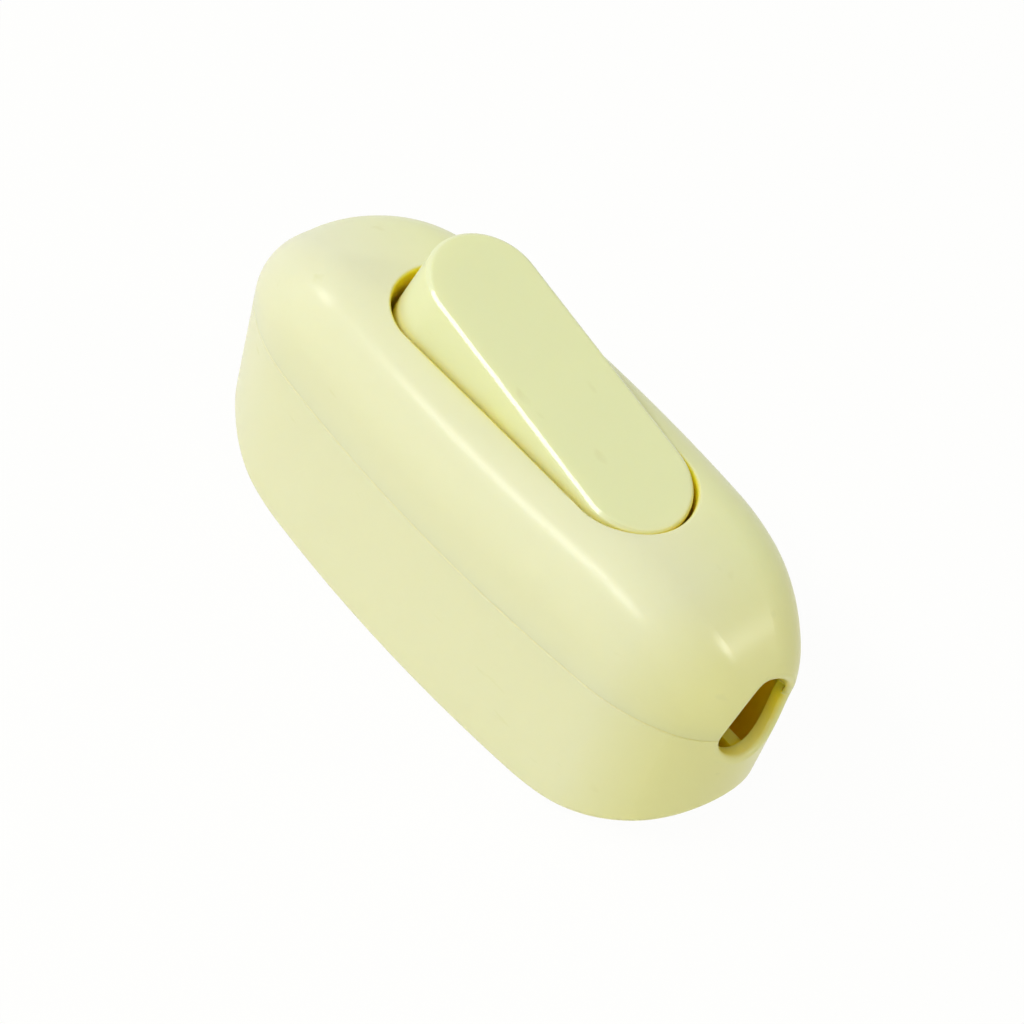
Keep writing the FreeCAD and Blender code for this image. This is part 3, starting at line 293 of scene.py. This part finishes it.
def part_of(tree, value, low, high, first=0.0, last=1.0):
    """Stretch one part of a value's range, so that it runs from a first to a last value."""
    limits = {"From_Min": low, "From_Max": high, "To_Min": first, "To_Max": last}
    return add(tree, "ShaderNodeMapRange", None, Value=value, **limits).outputs[0]


def along(tree, axis):
    """Measure where a place lies along one axis of the part's frame."""
    place = add(tree, "ShaderNodeTexCoord")
    return add(tree, "ShaderNodeSeparateXYZ", None, Vector=place.outputs["Object"]).outputs[axis]


def noise(tree, scale, detail, stretch=UNSTRETCHED):
    """Make a noise that is fixed to the part's own frame."""
    place = add(tree, "ShaderNodeTexCoord")
    mapping = add(tree, "ShaderNodeMapping", None, Vector=place.outputs["Object"], Scale=stretch)
    settings = {"Vector": mapping.outputs[0], "Scale": scale, "Detail": detail}
    return add(tree, "ShaderNodeTexNoise", None, **settings).outputs["Fac"]


def spread(tree, pattern, low, high):
    """Turn a noise into values between two limits."""
    return part_of(tree, pattern, NOISE_LOW, NOISE_HIGH, low, high)


def seen_directly(tree):
    """Tell the rays that show the background from those that only carry light."""
    rays = add(tree, "ShaderNodeLightPath").outputs
    camera_or_gloss = number_math(tree, "MAXIMUM", rays["Is Camera Ray"], rays["Is Glossy Ray"])
    return number_math(tree, "MAXIMUM", camera_or_gloss, rays["Is Transmission Ray"])


def make_world():
    """Surround the object with soft light that dims and warms to one side, seen as white."""
    world = bpy.data.worlds.new("studio")
    bpy.context.scene.world = world
    world.use_nodes = True
    tree = world.node_tree
    tree.nodes.clear()
    ray = add(tree, "ShaderNodeTexCoord").outputs["Generated"]
    dim_side = direction(DIM_SIDE_AZIMUTH, DIM_SIDE_ELEVATION)
    side = part_of(tree, vector_math(tree, "DOT_PRODUCT", ray, dim_side), DIM_SIDE_START, 1.0)
    light = blend_colours(tree, side, SURROUND_BRIGHT, SURROUND_DIM)
    colour = blend_colours(tree, seen_directly(tree), light, WHITE)
    background = add(tree, "ShaderNodeBackground", None, Color=colour, Strength=1.0)
    add(tree, "ShaderNodeOutputWorld", None, Surface=background.outputs[0])


def floor_finish():
    """Make the floor's pale paint, which the camera sees as nearly white."""
    material = bpy.data.materials.new("floor")
    material.use_nodes = True
    tree = material.node_tree
    tree.nodes.clear()
    share = number_math(tree, "MULTIPLY", seen_directly(tree), FLOOR_WHITENESS)
    paint = add(tree, "ShaderNodeBsdfDiffuse", None, Color=FLOOR_COLOUR)
    glow = add(tree, "ShaderNodeEmission", None, Color=WHITE, Strength=1.0)
    surface = work_out(tree, "ShaderNodeMixShader", None, (share, paint.outputs[0], glow.outputs[0]))
    add(tree, "ShaderNodeOutputMaterial", None, Surface=surface)
    return material


def make_floor():
    """Lay a plain pale floor that is seen as white and keeps a soft shadow."""
    half = FLOOR_SIDE / 2
    mesh = bpy.data.meshes.new("floor")
    corners = [(-half, -half), (half, -half), (half, half), (-half, half)]
    mesh.from_pydata([(x, y, FLOOR_HEIGHT) for x, y in corners], [], [range(len(corners))])
    mesh.materials.append(floor_finish())
    floor = bpy.data.objects.new("floor", mesh)
    bpy.context.scene.collection.objects.link(floor)


def start_material(name):
    """Start a material and give back its node tree and its shader."""
    material = bpy.data.materials.new(name)
    material.use_nodes = True
    tree = material.node_tree
    return material, tree, tree.nodes["Principled BSDF"]


def emboss(tree, shader, height, strength, depth):
    """Raise a surface a little by a height pattern."""
    bump = add(tree, "ShaderNodeBump", None, Height=height, Strength=strength, Distance=depth)
    tree.links.new(bump.outputs[0], shader.inputs["Normal"])
    return bump


def facet_rim(tree, shader, bump):
    """Shade the rocker's rounded rim as a narrow glossy facet that faces up and outwards."""
    tilt = math.radians(ROCKER_TILT)
    rise = math.radians(FACET_RISE)
    top = Vector((math.sin(tilt), 0.0, math.cos(tilt)))
    facing = add(tree, "ShaderNodeTexCoord").outputs["Normal"]
    height = vector_math(tree, "DOT_PRODUCT", facing, top)
    upward = add(tree, "ShaderNodeCombineXYZ")
    for axis, part in zip("XYZ", top):
        tree.links.new(number_math(tree, "MULTIPLY", height, part), upward.inputs[axis])
    sideways = vector_math(tree, "SUBTRACT", facing, upward.outputs[0])
    outward = vector_math(tree, "NORMALIZE", sideways)
    level = vector_math(tree, "MULTIPLY", outward, (math.cos(rise),) * 3)
    facet = vector_math(tree, "ADD", level, top * math.sin(rise))
    above = part_of(tree, height, RIM_LOWER_LIMIT, RIM_LOWER_LIMIT + RIM_FADE)
    below = part_of(tree, height, RIM_UPPER_LIMIT, RIM_UPPER_LIMIT - RIM_FADE)
    on_rim = number_math(tree, "MULTIPLY", above, below)
    shaded = blend_vectors(tree, on_rim, facing, facet)
    settings = {"vector_type": "NORMAL", "convert_from": "OBJECT", "convert_to": "WORLD"}
    turned = add(tree, "ShaderNodeVectorTransform", settings, Vector=shaded).outputs[0]
    tree.links.new(turned, bump.inputs["Normal"])
    tree.links.new(turned, shader.inputs["Coat Normal"])
    tree.links.new(part_of(tree, on_rim, 0.0, 1.0, COAT, RIM_COAT), shader.inputs["Coat Weight"])


def openness(tree, reach, closed, opened, own_shape_only):
    """Measure how open a place is to the light, from shut in to free."""
    settings = {"samples": OCCLUSION_SAMPLES, "only_local": own_shape_only}
    occlusion = add(tree, "ShaderNodeAmbientOcclusion", settings, Distance=reach)
    return part_of(tree, occlusion.outputs["AO"], closed, opened)


def painted_shade_share(tree):
    """Tell the hollows and the narrow gaps, where shade is painted, from the open outside."""
    hollow = openness(tree, HOLLOW_REACH, HOLLOW_CLOSED, HOLLOW_OPEN, True)
    gap = openness(tree, GAP_REACH, GAP_CLOSED, GAP_OPEN, False)
    beside_floor = part_of(tree, along(tree, "Z"), GAP_LOWEST, GAP_LOWEST - GAP_FADE)
    return number_math(tree, "MULTIPLY", hollow, number_math(tree, "MAXIMUM", gap, beside_floor))


def end_shade_share(tree):
    """Tell the two ends, where the gaps are deepest and the painted shade turns amber, from the
    middle.
    """
    length = number_math(tree, "ABSOLUTE", along(tree, "X"))
    return part_of(tree, length, END_START, END_FULL)


def scuffs(tree):
    """Scatter short faint marks that run along the part."""
    pattern = noise(tree, SCUFF_SCALE, SCUFF_DETAIL, SCUFF_STRETCH)
    return part_of(tree, pattern, SCUFF_START, SCUFF_FULL)


def outside_tone(tree, light_tone, deep_tone, marks, paints_side_shade):
    """Mix the colour of the open outside, with its soft flow lines and its scuffs, and, where asked,
    painted shade towards the far side and the front end.
    """
    flow = noise(tree, FLOW_SCALE, FLOW_DETAIL, FLOW_STRETCH)
    tone = blend_colours(tree, spread(tree, flow, 0.0, 1.0), deep_tone, light_tone)
    if paints_side_shade:
        # Painted shade: deeper colour towards the far side and the front end
        far_shade_share = part_of(tree, along(tree, "Y"), FAR_START, FAR_FULL)
        tone = blend_colours(tree, far_shade_share, tone, FAR_SHADE_TONE)
        front_shade_share = part_of(tree, along(tree, "X"), FRONT_START, FRONT_FULL)
        tone = blend_colours(tree, front_shade_share, tone, FRONT_SHADE_TONE)
    return blend_colours(tree, number_math(tree, "MULTIPLY", marks, SCUFF_LIFT), tone, SCUFF_TONE)


def painted_shade_tone(tree, share, outside, golden_shade_tone, deepest_shade_tone):
    """Paint shade into the outside's colour in two steps, golden and then amber, the more a place is
    shut in.
    """
    deepest = blend_colours(tree, end_shade_share(tree), deepest_shade_tone, SHADE_AMBER)
    middle = blend_colours(tree, part_of(tree, share, SHADE_GOLD_SHARE, 1.0), golden_shade_tone, outside)
    return blend_colours(tree, part_of(tree, share, 0.0, SHADE_GOLD_SHARE), deepest, middle)


def skin_roughness(tree, marks):
    """Vary the skin's roughness a little, and raise it on the scuffs."""
    patches = noise(tree, PATCH_SCALE, PATCH_DETAIL)
    lowest = PLASTIC_ROUGHNESS - ROUGHNESS_SWING
    highest = PLASTIC_ROUGHNESS + ROUGHNESS_SWING
    scuffed = number_math(tree, "MULTIPLY", marks, SCUFF_ROUGHNESS)
    return number_math(tree, "ADD", spread(tree, patches, lowest, highest), scuffed)


def moulded_plastic(name, tones, shade_tones, coat_roughness, paints_side_shade=False, has_facet=False):
    """Make translucent moulded plastic with a smooth skin, with shade painted into its colour where
    it is shut in.
    """
    material, tree, shader = start_material(name)
    marks = scuffs(tree)
    share = painted_shade_share(tree)
    outside = outside_tone(tree, *tones, marks, paints_side_shade)
    glow = part_of(tree, share, 0.0, 1.0, SUBSURFACE_INSIDE, SUBSURFACE_OUTSIDE)
    # The base colour gets painted shade in the hollows and the gaps
    tree.links.new(painted_shade_tone(tree, share, outside, *shade_tones), shader.inputs["Base Color"])
    tree.links.new(glow, shader.inputs["Subsurface Weight"])
    tree.links.new(skin_roughness(tree, marks), shader.inputs["Roughness"])
    shader.inputs["Subsurface Radius"].default_value = SUBSURFACE_RADIUS
    shader.inputs["Subsurface Scale"].default_value = SUBSURFACE_SCALE
    shader.inputs["Specular IOR Level"].default_value = SPECULAR_LEVEL
    shader.inputs["Coat Weight"].default_value = COAT
    shader.inputs["Coat Roughness"].default_value = coat_roughness
    skin = noise(tree, SKIN_SCALE, SKIN_DETAIL)
    bump = emboss(tree, shader, skin, SKIN_STRENGTH, SKIN_DEPTH)
    if has_facet:
        facet_rim(tree, shader, bump)
    return material


def worked_metal(name, light_tone, deep_tone, roughness, grain_scale, stretch=UNSTRETCHED):
    """Make bare metal with a fine grain and a slightly uneven tone."""
    material, tree, shader = start_material(name)
    shader.inputs["Metallic"].default_value = 1.0
    stain = noise(tree, STAIN_SCALE, STAIN_DETAIL)
    colour = blend_colours(tree, spread(tree, stain, 0.0, 1.0), deep_tone, light_tone)
    grain = noise(tree, grain_scale, GRAIN_DETAIL, stretch)
    worn = spread(tree, grain, roughness + GRAIN_SMOOTHEST, roughness + GRAIN_ROUGHEST)
    tree.links.new(colour, shader.inputs["Base Color"])
    tree.links.new(worn, shader.inputs["Roughness"])
    emboss(tree, shader, grain, GRAIN_STRENGTH, GRAIN_DEPTH)
    return material


def make_plastics():
    """Make the finishes of the moulded pieces."""
    finishes = {
        # The clamps' colour is painted shade, golden all over and amber where shut in
        CLAMP_SHADE_FINISH: {
            "tones": (SHADE_GOLD, SHADE_GOLD),
            "shade_tones": (SHADE_GOLD, SHADE_AMBER),
            "coat_roughness": HOUSING_COAT_ROUGHNESS,
        },
        "housing_plastic": {
            "tones": (HOUSING_LIGHT, HOUSING_DEEP),
            "shade_tones": (SHADE_GOLD, SHADE_AMBER),
            "coat_roughness": HOUSING_COAT_ROUGHNESS,
            # The housing gets painted shade on its far side and its front end
            "paints_side_shade": True,
        },
        "rocker_plastic": {
            "tones": (ROCKER_LIGHT, ROCKER_DEEP),
            # The rocker's gaps get a painted straw shade
            "shade_tones": (SHADE_STRAW, SHADE_STRAW),
            "coat_roughness": ROCKER_COAT_ROUGHNESS,
            "has_facet": True,
        },
    }
    return {name: moulded_plastic(name, **finish) for name, finish in finishes.items()}


def make_metals():
    """Make the finishes of the metal pieces."""
    finishes = {
        "brass": {
            "light_tone": (0.72, 0.53, 0.22, 1.0),
            "deep_tone": (0.6, 0.42, 0.16, 1.0),
            "roughness": 0.32,
            "grain_scale": 900.0,
            "stretch": (0.2, 1.0, 1.0),
        },
        "spring_steel": {
            "light_tone": (0.5, 0.5, 0.5, 1.0),
            "deep_tone": (0.4, 0.4, 0.41, 1.0),
            "roughness": 0.3,
            "grain_scale": 2500.0,
        },
        "contact_silver": {
            "light_tone": (0.86, 0.85, 0.82, 1.0),
            "deep_tone": (0.75, 0.74, 0.71, 1.0),
            "roughness": 0.25,
            "grain_scale": 1800.0,
        },
        "zinc_steel": {
            "light_tone": (0.66, 0.67, 0.69, 1.0),
            "deep_tone": (0.54, 0.55, 0.58, 1.0),
            "roughness": 0.34,
            "grain_scale": 1400.0,
            "stretch": (1.0, 1.0, 0.3),
        },
    }
    return {name: worked_metal(name, **finish) for name, finish in finishes.items()}


def dress_nodes():
    """Give every node the finish of its material slot, and the cord clamps their own, painted in
    shade colours.
    """
    materials = make_plastics() | make_metals()
    for part in frame["record"]["subparts"]:
        finish = CLAMP_SHADE_FINISH if part["node"] in CLAMP_NODES else part["material_slot"]
        mesh = nodes[part["node"]].data
        mesh.materials.clear()
        mesh.materials.append(materials[finish])


def make_spring():
    """Stand a copy in for the spring on the rocker's body, in place of the hidden imported spring."""
    node = nodes["plunger_spring"]
    spring = bpy.data.objects.new("coil_spring", node.data.copy())
    bpy.context.scene.collection.objects.link(spring)
    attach(spring, "rocker")
    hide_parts("plunger_spring")
    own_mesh(spring)


bpy.context.scene.view_settings.view_transform = "Standard"
make_camera()
make_world()
make_floor()
make_lights()
dress_nodes()
make_spring()
